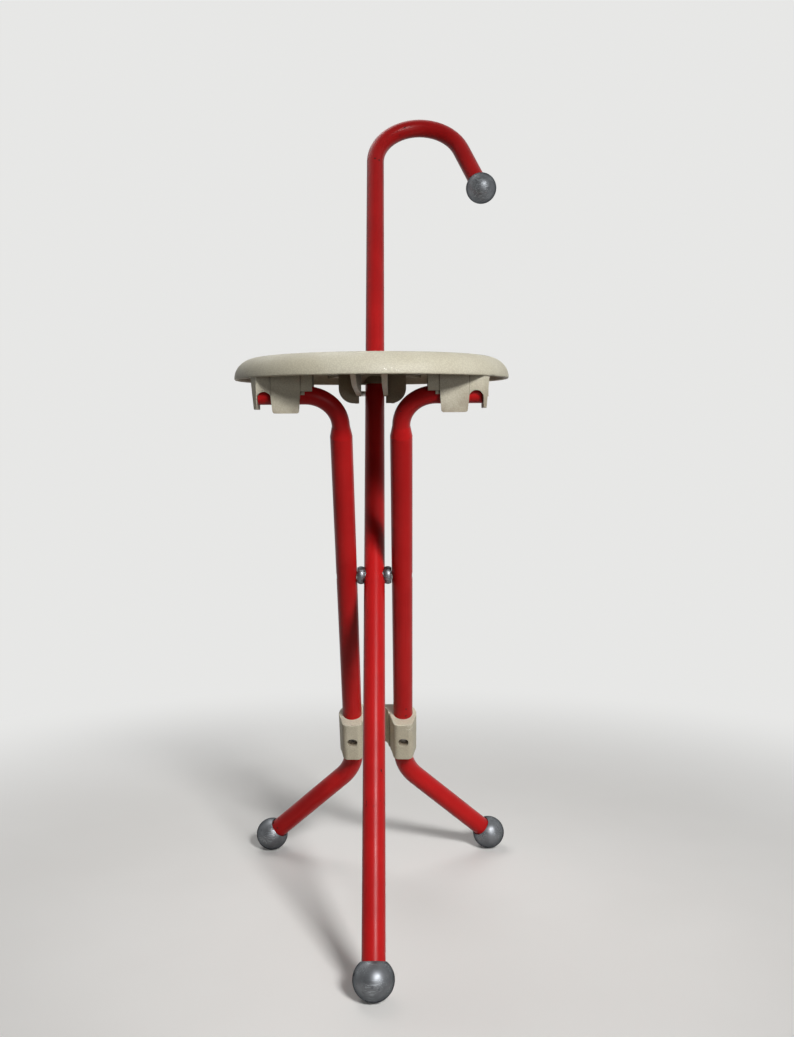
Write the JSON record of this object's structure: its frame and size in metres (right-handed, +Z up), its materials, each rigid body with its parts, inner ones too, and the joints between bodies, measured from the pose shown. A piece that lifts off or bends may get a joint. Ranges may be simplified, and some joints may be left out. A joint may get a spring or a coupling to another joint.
{
  "type": "folding stool",
  "caption": "Folding stool that closes into a walking cane: crossed bent tubes, a hook handle, ball feet and a round moulded seat that hooks onto the cane.",
  "frame": {"origin": "on the floor, under the middle of the open stool's bounding box", "axes": "+Z up, +Y to the rear, where the handle leans, +X to the side that the hook bends to"},
  "size_m": [0.281, 0.4756, 0.8459],
  "materials": {
    "red_lacquer": "glossy stove lacquer",
    "ivory_moulding": "grained moulding",
    "pewter_grey": "satin, scuffed",
    "bare_steel": "satin"
  },
  "bodies": {
    "cane": {"cane_tube": "red_lacquer", "handle_ball": "pewter_grey", "front_foot_ball": "pewter_grey", "latch_pin": "bare_steel", "pivot_spacer_left": "pewter_grey", "pivot_spacer_right": "pewter_grey"},
    "leg_frame": {"rear_leg_left": "red_lacquer", "rear_leg_right": "red_lacquer", "rear_foot_left": "pewter_grey", "rear_foot_right": "pewter_grey", "leg_bridge": "ivory_moulding", "bridge_screws": "bare_steel", "pivot_axle": "bare_steel"},
    "seat": {"seat": "ivory_moulding"}
  },
  "joints": [
    {"name": "leg_fold", "type": "hinge", "parent": "cane", "child": "leg_frame", "pos_m": [0, -0.04883, 0.33064], "axis": [-1, 0, 0], "range_deg": [0, 57.4]},
    {"name": "seat_fold", "type": "hinge", "parent": "leg_frame", "child": "seat", "pos_m": [0, -0.14022, 0.49756], "axis": [1, 0, 0], "range_deg": [0, 116.75]}
  ],
  "couplings": [
    {"joint": "seat_fold", "follows": "leg_fold", "ratio": 2.0331}
  ]
}
